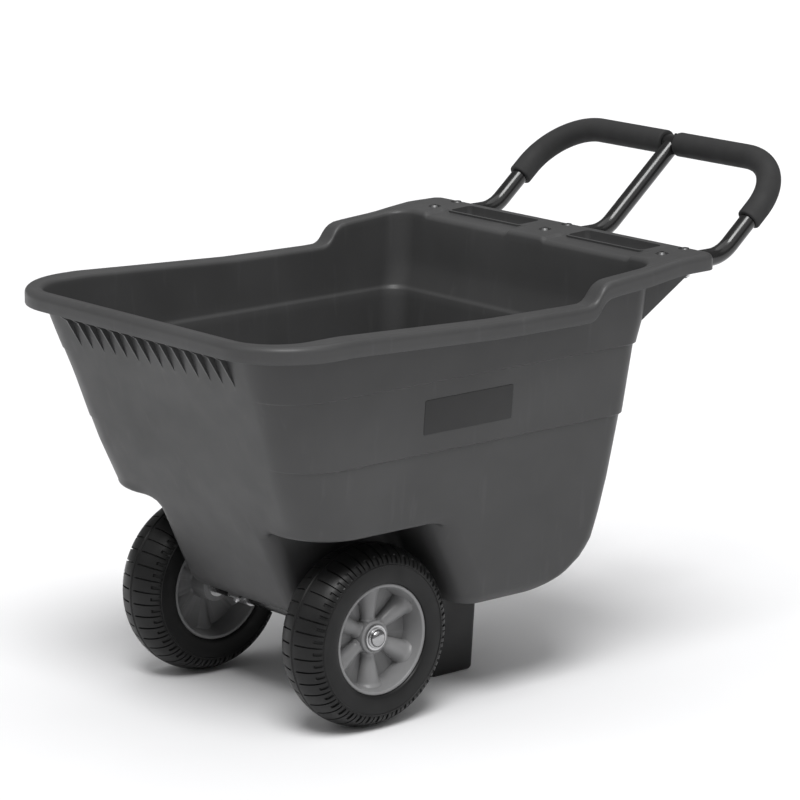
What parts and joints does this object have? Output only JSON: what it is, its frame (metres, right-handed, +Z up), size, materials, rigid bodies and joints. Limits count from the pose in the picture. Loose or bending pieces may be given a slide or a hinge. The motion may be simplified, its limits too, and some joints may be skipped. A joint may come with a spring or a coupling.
{
  "type": "garden cart",
  "caption": "Garden cart: deep moulded tub with a sloping nose on a wheeled axle, a rear foot and a raised tube push handle with foam grips.",
  "frame": {"origin": "on the ground, below the centre of the cart's outline", "axes": "+Z up, +X across the cart, +Y from the nose towards the handle"},
  "size_m": [0.6064, 1.004, 0.702],
  "materials": {
    "tub_plastic": "dark grey moulded plastic, satin with a fine grain",
    "label": "blank dark film plate",
    "foot_plastic": "black moulded plastic",
    "zinc_steel": "zinc-plated steel",
    "bright_cap": "bright pressed steel cap",
    "black_tube": "gloss black powder coat on steel tube",
    "grip_foam": "charcoal foam rubber, matt",
    "rim_plastic": "mid grey moulded plastic, satin",
    "tyre_rubber": "black rubber with moulded tread"
  },
  "bodies": {
    "cart": {"tub": "tub_plastic", "side_label": "label", "rear_foot": "foot_plastic", "foot_screws": "zinc_steel", "handle_frame": "black_tube", "centre_tube": "black_tube", "centre_bolt": "zinc_steel", "centre_insert": "zinc_steel", "grip_left": "grip_foam", "grip_right": "grip_foam", "handle_bolts": "zinc_steel", "handle_washers": "zinc_steel", "handle_nuts": "zinc_steel", "tube_plugs": "foot_plastic", "axle": "zinc_steel", "axle_tube": "black_tube", "axle_straps": "zinc_steel", "strap_bolts": "zinc_steel", "strap_nuts": "zinc_steel", "inner_washers": "zinc_steel", "outer_washers": "zinc_steel", "hub_cap_left": "bright_cap", "hub_cap_right": "bright_cap"},
    "wheel_left": {"wheel_rim_left": "rim_plastic", "tyre_left": "tyre_rubber", "hub_bush_left": "foot_plastic"},
    "wheel_right": {"wheel_rim_right": "rim_plastic", "tyre_right": "tyre_rubber", "hub_bush_right": "foot_plastic"}
  },
  "joints": [
    {"name": "wheel_left_spin", "type": "hinge", "parent": "cart", "child": "wheel_left", "pos_m": [-0.175, -0.248, 0.125], "axis": [1, 0, 0], "continuous": true},
    {"name": "wheel_right_spin", "type": "hinge", "parent": "cart", "child": "wheel_right", "pos_m": [0.175, -0.248, 0.125], "axis": [1, 0, 0], "continuous": true}
  ]
}
